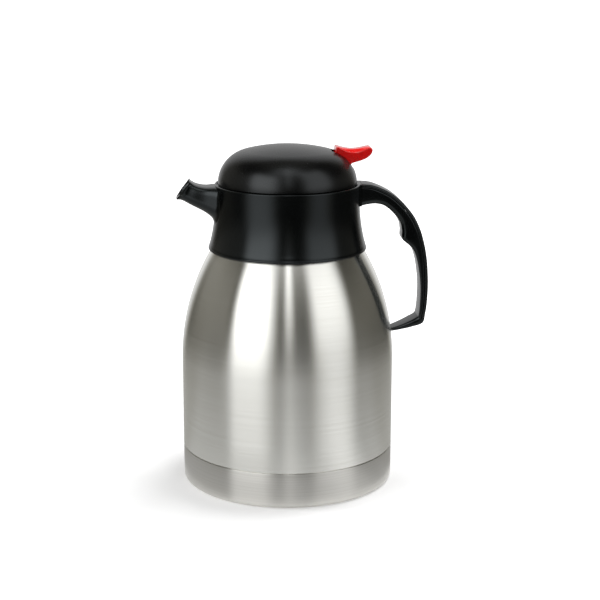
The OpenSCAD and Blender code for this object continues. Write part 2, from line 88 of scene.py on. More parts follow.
def ringStack(name, rings, closed=False, crease=32):
    count = len(rings[0])
    points = [p for ring in rings for p in ring]
    faces = []
    for k in range(len(rings) if closed else len(rings) - 1):
        a = k * count
        b = (k + 1) % len(rings) * count
        for i in range(count):
            j = (i + 1) % count
            faces.append((a + i, a + j, b + j, b + i))
    if not closed:
        faces.append(tuple(range(count)))
        faces.append(tuple(range(len(points) - count, len(points))))
    return meshObject(name, points, faces, crease)


def revolve(name, outline, steps=256, crease=32):
    turns = [2 * math.pi * i / steps for i in range(steps)]
    rings = [[(p[0] * math.cos(t), p[0] * math.sin(t), p[1]) for t in turns] for p in outline]
    return ringStack(name, rings, closed=True, crease=crease)


def arc(centre, radius, start, end, steps):
    angles = [math.radians(start + (end - start) * k / steps) for k in range(steps + 1)]
    return [(centre[0] + radius * math.cos(a), centre[1] + radius * math.sin(a)) for a in angles]


def softCorners(corners, steps=5):
    # a closed outline; a corner with a third number is rounded to that radius
    outline = []
    for i, corner in enumerate(corners):
        here = Vector(corner[:2])
        if len(corner) < 3:
            outline.append(here)
            continue
        back = (Vector(corners[i - 1][:2]) - here).normalized()
        ahead = (Vector(corners[(i + 1) % len(corners)][:2]) - here).normalized()
        half = back.angle(ahead) / 2
        start = back * corner[2] / math.tan(half)
        end = ahead * corner[2] / math.tan(half)
        centre = (back + ahead).normalized() * corner[2] / math.sin(half)
        swing = (start - centre).angle(end - centre)
        for k in range(steps + 1):
            t = k / steps
            spoke = (start - centre) * math.sin((1 - t) * swing) + (end - centre) * math.sin(t * swing)
            outline.append(here + centre + spoke / math.sin(swing))
    return outline


def smoothRows(rows, steps, closed=False):
    # a smooth curve through rows of numbers
    out = []
    count = len(rows)
    for k in range(count if closed else count - 1):
        if closed:
            a, b, c, d = (rows[(k + n) % count] for n in (-1, 0, 1, 2))
        else:
            a, b, c, d = rows[max(k - 1, 0)], rows[k], rows[k + 1], rows[min(k + 2, count - 1)]
        for s in range(steps):
            t = s / steps
            out.append([(2 * q + (r - p) * t + (2 * p - 5 * q + 4 * r - u) * t * t
                         + (3 * q - p - 3 * r + u) * t ** 3) / 2 for p, q, r, u in zip(a, b, c, d)])
    return out if closed else out + [list(rows[-1])]


def settle(obj, crease=32):
    # the modifiers' result becomes the plain mesh
    depsgraph = bpy.context.evaluated_depsgraph_get()
    mesh = bpy.data.meshes.new_from_object(obj.evaluated_get(depsgraph))
    obj.modifiers.clear()
    old = obj.data
    obj.data = mesh
    bpy.data.meshes.remove(old)
    mesh.name = obj.name
    return smoothShade(obj, crease)


def combine(obj, other, operation, crease=32):
    modifier = obj.modifiers.new("combine", "BOOLEAN")
    modifier.operation = operation
    modifier.solver = "EXACT"
    modifier.object = other
    settle(obj, crease)
    bpy.data.objects.remove(other)
    return obj


def newMaterial(name):
    material = bpy.data.materials.new(name)
    material.use_nodes = True
    tree = material.node_tree
    return material, tree, tree.nodes["Principled BSDF"]


def wire(tree, node, inputs):
    # an output is linked to the node's socket, and any other value is set on it
    for key, value in dict(inputs).items():
        if isinstance(value, bpy.types.NodeSocket):
            tree.links.new(value, node.inputs[key])
        else:
            node.inputs[key].default_value = value


def addNode(tree, kind, inputs=(), **settings):
    node = tree.nodes.new(kind)
    for key, value in settings.items():
        setattr(node, key, value)
    wire(tree, node, inputs)
    return node


def mathNode(tree, operation, *inputs):
    return addNode(tree, "ShaderNodeMath", enumerate(inputs), operation=operation).outputs[0]


def noiseOn(tree, scale, detail=3.0, roughness=0.55):
    coords = addNode(tree, "ShaderNodeTexCoord")
    mapping = addNode(tree, "ShaderNodeMapping", {"Vector": coords.outputs["Object"], "Scale": scale})
    noise = addNode(tree, "ShaderNodeTexNoise", {
        "Vector": mapping.outputs["Vector"], "Scale": 1.0, "Detail": detail, "Roughness": roughness})
    return noise.outputs["Fac"]


def spread(tree, source, lowest, highest, fromLow=0.3, fromHigh=0.7):
    return addNode(tree, "ShaderNodeMapRange", {
        "Value": source, "From Min": fromLow, "From Max": fromHigh,
        "To Min": lowest, "To Max": highest}).outputs["Result"]


def shades(tree, source, dark, light, start=0.3, end=0.7):
    ramp = addNode(tree, "ShaderNodeValToRGB", {"Fac": source})
    for element, position, colour in zip(ramp.color_ramp.elements, (start, end), (dark, light)):
        element.position = position
        element.color = (*colour, 1)
    return ramp.outputs["Color"]


def bumpFrom(tree, source, strength, depth, under=None):
    inputs = {"Height": source, "Strength": strength, "Distance": depth}
    if under:
        inputs["Normal"] = under
    return addNode(tree, "ShaderNodeBump", inputs).outputs["Normal"]


# What the finishes share: noise scales in cycles to the metre, and the depths of their bumps
surface = {"cloud": (9, 9, 14), "cloudShare": 0.35, "cloudRange": (0.5, 0.85), "grainDepth": 0.02 * mm,
           "flow": (22, 22, 30), "flowRelief": 0.12, "flowDepth": 0.05 * mm, "ior": 1.5,
           "coatRoughness": 0.08, "milk": (260, 260, 260), "milkWeight": 0.15,
           "milkRadius": (0.002, 0.002, 0.002)}


def brushedSteel(name, values):
    material, tree, shader = newMaterial(name)
    lines = noiseOn(tree, (values["along"], values["along"], values["across"]), 4.0, 0.7)
    cloud = noiseOn(tree, surface["cloud"], 2.0)
    mixed = mathNode(tree, "MULTIPLY_ADD", cloud, surface["cloudShare"], lines)
    tangent = addNode(tree, "ShaderNodeTangent", direction_type="RADIAL", axis="Z")
    wire(tree, shader, {
        "Metallic": 1.0, "Anisotropic": values["anisotropy"], "Anisotropic Rotation": 0.25,
        "Base Color": shades(tree, lines, values["dark"], values["light"]),
        "Roughness": spread(tree, mixed, *values["roughness"], *surface["cloudRange"]),
        "Normal": bumpFrom(tree, lines, values["relief"], surface["grainDepth"]),
        "Tangent": tangent.outputs["Tangent"]})
    return material


def plainSteel(name, values):
    material, tree, shader = newMaterial(name)
    cloud = noiseOn(tree, (values["grain"],) * 3, 3.0)
    wire(tree, shader, {
        "Metallic": 1.0, "Base Color": shades(tree, cloud, values["dark"], values["light"]),
        "Roughness": spread(tree, cloud, *values["roughness"])})
    return material


def mouldedPlastic(name, values):
    material, tree, shader = newMaterial(name)
    grain = noiseOn(tree, (values["grain"],) * 3, 2.0)
    flow = noiseOn(tree, surface["flow"], 3.0)
    shallow = bumpFrom(tree, flow, surface["flowRelief"], surface["flowDepth"])
    wire(tree, shader, {
        "IOR": surface["ior"], "Coat Weight": values.get("coat", 0.0),
        "Coat Roughness": surface["coatRoughness"],
        "Specular Tint": (*values.get("gloss", (1, 1, 1)), 1),
        "Base Color": shades(tree, flow, values["dark"], values["light"]),
        "Roughness": spread(tree, flow, *values["roughness"]),
        "Normal": bumpFrom(tree, grain, values["relief"], surface["grainDepth"], shallow)})
    return material


def milkySilicone(name, values):
    material, tree, shader = newMaterial(name)
    cloud = noiseOn(tree, surface["milk"], 2.0)
    wire(tree, shader, {
        "Subsurface Weight": surface["milkWeight"], "Subsurface Radius": surface["milkRadius"],
        "Base Color": shades(tree, cloud, values["dark"], values["light"]),
        "Roughness": spread(tree, cloud, *values["roughness"])})
    return material


finishes = {
    "steel_brushed": brushedSteel("bodySteel", {
        "dark": (0.89, 0.885, 0.832), "light": (0.975, 0.975, 0.933), "roughness": (0.25, 0.26),
        "anisotropy": 1.0, "along": 4, "across": 1600, "relief": 0.06}),
    "steel_band": brushedSteel("bandSteel", {
        "dark": (0.685, 0.672, 0.632), "light": (0.77, 0.762, 0.726), "roughness": (0.28, 0.31),
        "anisotropy": 1.0, "along": 5, "across": 1600, "relief": 0.04}),
    "steel_plain": plainSteel("sheetSteel", {
        "dark": (0.62, 0.615, 0.60), "light": (0.72, 0.715, 0.70), "roughness": (0.24, 0.34),
        "grain": 120}),
    "spring_steel": plainSteel("springWire", {
        "dark": (0.55, 0.55, 0.56), "light": (0.68, 0.68, 0.69), "roughness": (0.22, 0.3), "grain": 400}),
    "getter_metal": plainSteel("getterPellet", {
        "dark": (0.34, 0.34, 0.35), "light": (0.46, 0.46, 0.47), "roughness": (0.5, 0.65), "grain": 900}),
    "black_plastic": mouldedPlastic("collarBlack", {
        "dark": (0.0006, 0.0009, 0.0010), "light": (0.0012, 0.0016, 0.0018), "roughness": (0.19, 0.24),
        "grain": 1500, "relief": 0.10, "gloss": (0.88, 0.97, 1.0)}),
    "black_cover": mouldedPlastic("coverBlack", {
        "dark": (0.0008, 0.0011, 0.0012), "light": (0.0014, 0.0018, 0.0020), "roughness": (0.22, 0.27),
        "grain": 1500, "relief": 0.10, "gloss": (0.90, 0.97, 1.0)}),
    "black_lid": mouldedPlastic("lidBlack", {
        "dark": (0.0010, 0.0010, 0.0011), "light": (0.0016, 0.0016, 0.0017), "roughness": (0.24, 0.29),
        "grain": 1900, "relief": 0.16, "gloss": (0.93, 0.98, 1.0)}),
    "dark_plastic": mouldedPlastic("stopperGrey", {
        "dark": (0.016, 0.016, 0.017), "light": (0.024, 0.024, 0.026), "roughness": (0.42, 0.52),
        "grain": 1200, "relief": 0.2}),
    "red_plastic": mouldedPlastic("leverRed", {
        "dark": (0.84, 0.0008, 0.0006), "light": (0.90, 0.0012, 0.0010), "roughness": (0.16, 0.22),
        "grain": 600, "relief": 0.02, "coat": 1.0}),
    "silicone": milkySilicone("milkySilicone", {
        "dark": (0.74, 0.74, 0.71), "light": (0.84, 0.84, 0.81), "roughness": (0.42, 0.55)}),
}
for part in frame["record"]["subparts"]:
    for slot in frame["nodes"][part["node"]].material_slots:
        slot.material = finishes[part["material_slot"]]
print("materials made:", len(finishes))


def dress(obj, finish, body, *nodes):
    obj.data.materials.clear()
    obj.data.materials.append(finishes[finish])
    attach(obj, body)
    if nodes:
        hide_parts(*nodes)
    print(obj.name, len(obj.data.polygons), "faces")
    return obj


# The steel body: cylinder, then one long arc that closes the shoulder
flask = {"sheet": 0.6, "arcStart": 81, "arc": 137, "tuck": 155.5, "neck": 38, "neckStep": 4, "edge": 0.35,
         "line": 0.4, "fit": 0.05, "joggle": (1.2, 0.4), "rings": (40, 60)}
bodyRadius = high("outer_shell").x
bodyLow = high("base_band").z + flask["line"]


def shellRadius(z, inset=0.0):
    reach = flask["arc"] - inset
    return bodyRadius - flask["arc"] + math.sqrt(reach ** 2 - (z - flask["arcStart"]) ** 2)


def shellSide(inset, start, end, steps):
    heights = [start + (end - start) * k / steps for k in range(steps + 1)]
    return [(shellRadius(z, inset), z) for z in heights]


def makeShell():
    sheet, neck, tuck, fit = flask["sheet"], flask["neck"], flask["tuck"], flask["fit"]
    neckLow = tuck + flask["neckStep"]
    slip = low("outer_shell").z
    outline = softCorners(
        [(bodyRadius, bodyLow, flask["edge"])]
        + [(bodyRadius, z) for z in flask["rings"]]
        + shellSide(0, flask["arcStart"], tuck, 40)
        + [(neck, neckLow, 2), (neck, neckTop - sheet), (neck - sheet, neckTop - sheet),
           (neck - sheet, neckLow - sheet, 1)]
        + shellSide(sheet, tuck, flask["arcStart"], 40)
        + [(bodyRadius - sheet, bodyLow + flask["joggle"][0]),
           (bodyRadius - 2 * sheet - fit, bodyLow + flask["joggle"][1]),
           (bodyRadius - 2 * sheet - fit, slip), (bodyRadius - sheet - fit, slip),
           (bodyRadius - sheet - fit, bodyLow)])
    return revolve("bodyShell", outline, 320)


dress(makeShell(), "steel_brushed", "flask", "outer_shell")

# The band around the base: a drawn cup with a standing ring and a raised middle
base = {"edge": 3.0, "ring": 7.0, "recess": 3.0, "sheet": 0.6, "rim": 0.28, "rings": (14, 8)}


def makeBand():
    r, top, sheet = bodyRadius, high("base_band").z, base["sheet"]
    inner = r - base["edge"] - base["ring"]
    outline = softCorners(
        [(r, top, base["rim"])]
        + [(r, z) for z in base["rings"]]
        + arc((r - base["edge"], base["edge"]), base["edge"], 0, -90, 8)
        + [(inner, 0, 0.5), (inner, base["recess"], 0.5), (0, base["recess"]),
           (0, base["recess"] + sheet), (inner + sheet, base["recess"] + sheet, 0.4),
           (inner + sheet, sheet, 0.3)]
        + arc((r - base["edge"], base["edge"]), base["edge"] - sheet, -90, 0, 8)
        + [(r - sheet, top, 0.2)])
    return revolve("baseBand", outline, 320)


dress(makeBand(), "steel_band", "flask", "base_band")

# The collar: a beaded foot on the shoulder, a hollow side, a rim and a ledge under the lid
collar = {"footBack": 0.9, "footHeight": 3.6, "bead": 1.0, "waistArc": 115, "wall": 2.2,
          "rimEdge": 0.6, "line": 0.6, "lineEdge": 0.25, "rest": 0.3, "ledge": 1.4, "shelf": 1.2,
          "gap": 0.3, "insertStep": 1.5}
collarLow = low("collar").z
footRadius = high("collar").x
waistLow = Vector((footRadius - collar["footBack"], collarLow + collar["footHeight"]))
waistTop = Vector((rimRadius, rimTop))
waistChord = waistTop - waistLow
waistCentre = ((waistLow + waistTop) / 2 + Vector((waistChord.y, -waistChord.x)).normalized()
               * math.sqrt(collar["waistArc"] ** 2 - waistChord.length_squared / 4))


def collarRadius(z):
    return waistCentre.x - math.sqrt(collar["waistArc"] ** 2 - (z - waistCentre.y) ** 2)


def waistSide(inset, start, end, steps):
    heights = [start + (end - start) * k / steps for k in range(steps + 1)]
    return [(collarRadius(z) - inset, z) for z in heights]


def makeCollar():
    rest = lidLow - collar["rest"]
    pocketTop = rest - collar["ledge"]
    bead, clear = collar["bead"], collar["gap"]
    insertLow = neckTop + collar["insertStep"]
    lineRadius, shelfRadius = lidRadius + collar["line"], lidRadius - collar["shelf"]
    outline = softCorners(
        [(shellRadius(collarLow, -clear), collarLow)]
        + arc((footRadius - bead, collarLow + bead), bead, -90, 55, 8)
        + [(waistLow.x + 0.35, waistLow.y - 0.7), (waistLow.x + 0.02, waistLow.y + 0.3)]
        + waistSide(0, waistLow.y + 1.2, rimTop - 1.5, 36)
        + [(rimRadius, rimTop, collar["rimEdge"]), (lineRadius, rimTop, collar["lineEdge"]),
           (lineRadius, rest), (shelfRadius, rest, 0.2), (shelfRadius, pocketTop)]
        + waistSide(collar["wall"], pocketTop, insertLow, 20)
        + [(flask["neck"] + clear, insertLow),
           (flask["neck"] + clear, flask["tuck"] + flask["neckStep"])]
        + shellSide(-clear, flask["tuck"], collarLow + 0.5, 6))
    return revolve("collarBody", outline, 320)


collarBody = makeCollar()

# The spout: stations from inside the wall out to the lip, as distance inwards from the lip and
# depth below the rim, first for the deck and then for the underside, then the added half width
spout = {"mouthHalf": 8.6, "wall": 1.8, "around": 96, "deckSquare": 0.42, "bellySquare": 0.85,
         "fillet": 3.2, "filletLeast": 0.05, "fadeFrom": 0.75, "fade": 0.9, "belowRim": 0.6,
         "sink": 0.03, "within": 0.05, "lip": 0.5, "lipShare": 0.7,
         "steps": {"rows": 12, "fillet": 8, "out": 14, "back": 12},
         "rows": [(32, 0.9, 30, 26, 6.5), (24, 0.8, 23, 21.6, 4), (18, 1.1, 17, 17.2, 2),
                  (12.6, 0, 9, 13.0, 0.7), (9.4, -1.8, 3, 9.8, -0.3), (8.3, -3.1, 0, 9.5, 0.4)]}
lipX = low("collar").x


def spoutStation(row, inset):
    deck = Vector((lipX + row[0], rimTop - row[1] - inset))
    belly = Vector((lipX + row[2], rimTop - row[3] + inset))
    return deck, belly, spout["mouthHalf"] + row[4] - inset


def spoutRing(row, inset):
    up, down, half = spoutStation(row, inset)
    ring = []
    for i in range(spout["around"]):
        turn = 2 * math.pi * i / spout["around"]
        s, c = math.sin(turn), math.cos(turn)
        power = spout["deckSquare"] if s >= 0 else spout["bellySquare"]
        s = math.copysign(abs(s) ** power, s)
        c = math.copysign(abs(c) ** power, c)
        middle = (up + down) / 2 + (up - down) / 2 * s
        ring.append(Vector((middle.x, half * c, middle.y)))
    return ring


def crossing(line, inset):
    # where a line of the spout leaves the collar's wall: index and share
    def outside(p):
        return math.hypot(p.x, p.y) - collarRadius(min(p.z, rimTop)) + inset
    for k in range(len(line) - 1):
        a, b = outside(line[k]), outside(line[k + 1])
        if a < 0 <= b:
            return k, a / (a - b)
    return 0, 0.0


def alongLine(line, position):
    whole = min(int(position), len(line) - 2)
    return line[whole].lerp(line[whole + 1], position - whole)


def wallPoint(turn, z):
    r = collarRadius(z)
    return Vector((r * math.cos(turn), r * math.sin(turn), z))


def filletEnds(wallAt, i, line, first):
    # where the fillet leaves the collar's wall, its bend, and where it meets a line of the spout
    here, ahead, behind = wallAt[i], wallAt[(i + 1) % len(wallAt)], wallAt[i - 1]
    turn = math.atan2(here.y, here.x)
    sideways = Vector((math.sin(turn), -math.cos(turn), 0))     # along the wall, level
    run = (ahead - behind).normalized()
    out = Vector((run.dot(sideways), run.z)).normalized()
    away = sideways * -out.y + Vector((0, 0, 1)) * out.x
    if away.dot(here - sum(wallAt, Vector()) / len(wallAt)) < 0:
        away = -away
    share = max(0.0, min(1.0, (spout["fadeFrom"] - away.z) / spout["fade"]))
    reach = spout["fillet"] * share * share * (3 - 2 * share) + spout["filletLeast"]
    swing = away.dot(Vector((-math.sin(turn), math.cos(turn), 0))) * reach / math.hypot(here.x, here.y)
    footTurn = turn + swing
    foot = wallPoint(footTurn, min(here.z + away.z * reach, rimTop - spout["belowRim"]))
    k, walked, at = first, 0.0, here
    while k < len(line) - 2 and walked + (line[k + 1] - at).length < reach:
        walked += (line[k + 1] - at).length
        k += 1
        at = line[k]
    leave = at + (line[k + 1] - at).normalized() * max(0.0, reach - walked)
    normal = Vector((math.cos(footTurn), math.sin(footTurn), 0))
    bend = here - normal * (here - foot).dot(normal)
    return foot - normal * spout["sink"], bend, leave, k


def makeSpout():
    around, steps = spout["around"], spout["steps"]
    stations = smoothRows(spout["rows"], steps["rows"])
    outer = [spoutRing(row, 0) for row in stations]
    inner = [spoutRing(row, spout["wall"]) for row in stations]
    outerLines = [[ring[i] for ring in outer] for i in range(around)]
    innerLines = [[ring[i] for ring in inner] for i in range(around)]
    places = [crossing(line, 0) for line in outerLines]
    wallAt = [line[k].lerp(line[k + 1], share) for line, (k, share) in zip(outerLines, places)]
    last = len(stations) - 1
    columns = []
    for i, line in enumerate(outerLines):
        foot, bend, leave, k = filletEnds(wallAt, i, line, places[i][0])
        curve = [foot.lerp(bend, t).lerp(bend.lerp(leave, t), t)
                 for t in (n / steps["fillet"] for n in range(steps["fillet"] + 1))]
        outside = [alongLine(line, (k + 1) + (last - (k + 1)) * ((n + 1) / steps["out"]))
                   for n in range(steps["out"])]
        innerK, innerPart = crossing(innerLines[i], collar["wall"] + spout["within"])
        inside = [alongLine(innerLines[i],
                            innerK + innerPart + (last - innerK - innerPart) * (1 - n / steps["back"]))
                  for n in range(steps["back"] + 1)]
        ahead = (outside[-1] - outside[-2]).normalized()
        lip = (outside[-1] + inside[0]) / 2 + ahead * spout["lip"]
        rounded = [outside[-1].lerp(lip, spout["lipShare"]), lip, inside[0].lerp(lip, spout["lipShare"])]
        columns.append(curve + outside + rounded + inside)
    rings = [[column[n] for column in columns] for n in range(len(columns[0]))]
    return ringStack("spoutSkin", rings, closed=True, crease=38)


def makeChannel():
    rows = smoothRows(spout["rows"][:4], 6)
    return ringStack("channel", [spoutRing(row, spout["wall"] - 0.25) for row in rows])


def roundedBlock(name, lowCorner, highCorner, radius):
    lowest, highest = Vector(lowCorner), Vector(highCorner)
    corners = [(lowest.y, lowest.z, radius), (highest.y, lowest.z, radius),
               (highest.y, highest.z, radius), (lowest.y, highest.z, radius)]
    outline = softCorners(corners, 4)
    return ringStack(name, [[(x, p[0], p[1]) for p in outline] for x in (lowest.x, highest.x)])


# The flat seat of the handle on the collar
seat = {"thick": 6, "deep": 14.2, "half": 8.9, "edge": 0.8, "fit": 0.05, "under": 0.1}
seatFace = low("handle").x - seat["fit"]
seatBlock = roundedBlock("seat", (seatFace - seat["thick"], -seat["half"], rimTop - seat["deep"]),
                         (seatFace, seat["half"], rimTop - seat["under"]), seat["edge"])
combine(collarBody, makeChannel(), "DIFFERENCE")
combine(collarBody, seatBlock, "UNION", 28)
dress(collarBody, "black_plastic", "flask", "collar")
dress(makeSpout(), "black_plastic", "flask", "collar")

# The handle: stations as shares of its reach and drop: back x and z, inner x and z, width, cover
grip = {"half": 8.5, "cover": 2.2, "seam": 0.08, "backEdge": 1.4, "innerEdge": 3.2, "seamEdge": 0.75,
        "tipGap": 0.15, "stepShare": 0.15, "mostEdge": 0.45,
        "rows": [(0, 0, 0, 0.145, 1.04), (0.138, 0.006, 0.099, 0.136, 1.02),
                 (0.287, 0.029, 0.218, 0.133, 1), (0.46, 0.071, 0.345, 0.149, 1),
                 (0.632, 0.139, 0.471, 0.197, 1), (0.775, 0.219, 0.57, 0.258, 1),
                 (0.869, 0.306, 0.6, 0.316, 1), (0.915, 0.372, 0.607, 0.37, 1),
                 (0.94, 0.417, 0.715, 0.415, 1), (0.961, 0.464, 0.791, 0.46, 1),
                 (0.986, 0.551, 0.848, 0.551, 1), (1, 0.681, 0.885, 0.681, 1),
                 (0.991, 0.794, 0.883, 0.804, 1), (0.968, 0.876, 0.867, 0.881, 1),
                 (0.931, 0.939, 0.839, 0.901, 0.98)],
        "arm": [(0.668, 0.965, 0.748, 0.924, 0.93), (0.347, 0.983, 0.409, 0.951, 0.82),
                (0, 0.999, 0, 0.977, 0.66)],
        "steps": 9, "coverEnd": 13.667}
handleReach = high("handle_cover").x - low("handle").x
handleDrop = (rimTop - low("handle").z) / grip["arm"][-1][1]


def handleStation(row, start=None, reach=None):
    start = low("handle").x if start is None else start
    reachOut, reachIn = reach or (handleReach, handleReach)
    return [start + reachOut * row[0], rimTop - handleDrop * row[1],
            start + reachIn * row[2], rimTop - handleDrop * row[3], grip["half"] * row[4]]


def handleLine():
    stations = [handleStation(row) for row in grip["rows"]]
    tip = shellRadius(rimTop - handleDrop) + grip["tipGap"]
    reach = (stations[-1][0] - tip, stations[-1][2] - tip)
    return smoothRows(stations + [handleStation(row, tip, reach) for row in grip["arm"]], grip["steps"])


def handleRing(row, start, end, backEdge, innerEdge):
    back, inner = Vector(row[:2]), Vector(row[2:4])
    way = (inner - back).normalized()
    depth = (inner - back).length
    half, end = row[4], depth if end is None else end
    innerEdge = min(innerEdge, (end - start) * grip["mostEdge"])
    outline = softCorners([(-half, start, backEdge), (half, start, backEdge),
                           (half, end, innerEdge), (-half, end, innerEdge)], 6)
    return [(back.x + way.x * t, y, back.y + way.y * t) for y, t in outline]


def makeHandle():
    rows = handleLine()
    end = round(grip["coverEnd"] * grip["steps"])
    rings = [handleRing(row, grip["cover"] + grip["seam"], None, grip["seamEdge"], grip["innerEdge"])
             for row in rows[: end + 1]]
    below = [a + (b - a) * grip["stepShare"] for a, b in zip(rows[end], rows[end + 1])]
    rings += [handleRing(row, 0, None, grip["backEdge"], grip["innerEdge"])
              for row in [below] + rows[end + 1:]]
    return ringStack("handleGrip", rings, crease=40)


def makeCover():
    rows = handleLine()[: round(grip["coverEnd"] * grip["steps"]) + 1]
    return ringStack("handleCover", [handleRing(row, 0, grip["cover"], grip["backEdge"], grip["seamEdge"])
                                     for row in rows], crease=40)


dress(makeHandle(), "black_plastic", "flask", "handle")
dress(makeCover(), "black_cover", "flask", "handle_cover")

# The lid: straight side, shoulder arc and crown arc, all tangent, with a slot for the lever
lid = {"wall": 2.2, "lean": 5.4, "side": 2.9, "shoulder": 21.4, "crown": 113.5, "edge": 1.3,
       "slotHalf": 6.5, "slotFrom": 27.6, "slotLow": 202.0, "slotTop": 240, "slotEdge": 0.8, "past": 5}


def domeSide(inset, steps):
    lean = math.radians(lid["lean"])
    sideTop = Vector((lidRadius - lid["side"] * math.tan(lean), lidLow + lid["side"]))
    centre = sideTop - Vector((math.cos(lean), math.sin(lean))) * lid["shoulder"]
    crownLow = centre.y - math.sqrt((lid["crown"] - lid["shoulder"]) ** 2 - centre.x ** 2)
    turn = math.degrees(math.atan2(centre.y - crownLow, centre.x))
    foot = (lidRadius - inset / math.cos(lean), lidLow)
    return ([foot + ((lid["edge"],) if inset == 0 else ())]
            + arc(centre, lid["shoulder"] - inset, lid["lean"], turn, steps)
            + arc((0, crownLow), lid["crown"] - inset, turn, 90, steps)[1:])


def makeLid():
    outline = softCorners(domeSide(0, 28) + domeSide(lid["wall"], 16)[::-1])
    dome = revolve("lidDome", outline, 256)
    lowest = (lid["slotFrom"], -lid["slotHalf"], lid["slotLow"])
    highest = (lidRadius + lid["past"], lid["slotHalf"], lid["slotTop"])
    slotCut = roundedBlock("slotCut", lowest, highest, lid["slotEdge"])
    return combine(dome, slotCut, "DIFFERENCE", 30)


dress(makeLid(), "black_lid", "lid", "lid_dome")

# The thumb lever: its outline as steps from the pin, lofted across its width
lever = {"pinX": 33.0, "pinZ": 204.3, "half": 6.0, "edge": 0.7, "slices": 26,
         "saddle": {"deep": 2.0, "from": -1.5, "to": 19.5, "above": 8, "flat": 0.55},
         "outline": [(-3.2, 0.6), (-3.6, 4.5), (-3.4, 9.4), (-2.6, 11.9), (-1.2, 12.2), (3, 11.2),
                     (7.2, 10.6), (11.6, 10.9), (17.6, 12.0), (19.2, 11.7), (20.3, 10.6), (20.3, 9.2),
                     (19.2, 7.0), (16.4, 4.8), (12.4, 3.2), (7.4, 1.7), (7.0, -0.3), (5.6, -1.6),
                     (1, -3.2)],
         "fork": {"radius": 2.0, "drop": 1.5, "half": 6.0, "gap": 2.6, "gapEnd": 8, "gapHalf": 3,
                  "gapEdge": 0.3, "past": 1}}


def makeLever():
    outline = [Vector(p) for p in smoothRows(lever["outline"], 5, closed=True)]
    count = len(outline)
    rings = []
    half, edge, saddle = lever["half"], lever["edge"], lever["saddle"]
    for k in range(lever["slices"] + 1):
        y = -half * math.cos(math.pi * k / lever["slices"])
        over = max(0.0, abs(y) - (half - edge))
        inset = edge - math.sqrt(max(0.0, edge ** 2 - over ** 2))
        ring = []
        for i, p in enumerate(outline):
            along = (outline[(i + 1) % count] - outline[i - 1]).normalized()
            inward = Vector((along.y, -along.x))
            q = p + inward * inset
            onTop = saddle["from"] < p.x < saddle["to"] and p.y > saddle["above"]
            facing = max(0.0, -inward.y) if onTop else 0.0
            falling = max(0.0, (abs(y) - half * saddle["flat"]) / (half * (1 - saddle["flat"])))
            share = min(1, max(0, (p.x - saddle["from"]) / (saddle["to"] - saddle["from"])))
            q.y -= saddle["deep"] * facing * falling * math.sin(math.pi * share)
            ring.append((lever["pinX"] + q.x, y, lever["pinZ"] + q.y))
        rings.append(ring)
    return ringStack("thumbLever", rings, crease=40)


def makeFork():
    fork = lever["fork"]
    z, r, past = lever["pinZ"] - fork["drop"], fork["radius"], fork["past"]
    outline = arc((0, z), r, 90, 270, 10) + [(lever["pinX"] + past, z - r), (lever["pinX"] + past, z + r)]
    ends = (-fork["half"], fork["half"])
    bar = ringStack("leverFork", [[(x, y, up) for x, up in outline] for y in ends])
    gap = roundedBlock("forkGap", (-r - past, -fork["gap"], z - fork["gapHalf"]),
                       (fork["gapEnd"], fork["gap"], z + fork["gapHalf"]), fork["gapEdge"])
    return combine(bar, gap, "DIFFERENCE")


dress(makeLever(), "red_plastic", "lever", "pour_lever")
dress(makeFork(), "red_plastic", "lever", "pour_lever")

# The screw thread between stopper and sleeve: three ribs on each, one set between the other
thread = {"starts": 3, "lead": 15, "sweep": 0.3, "above": 5.6, "root": 1.9, "crest": 1.0, "depth": 1.9,
          "steps": 160, "taper": 9.0, "blunt": 0.12}
threadSides = {"stopperThread": {"radius": 31.25, "facing": 1, "turn": 0},
               "sleeveThread": {"radius": 32.45, "facing": -1, "turn": 60}}


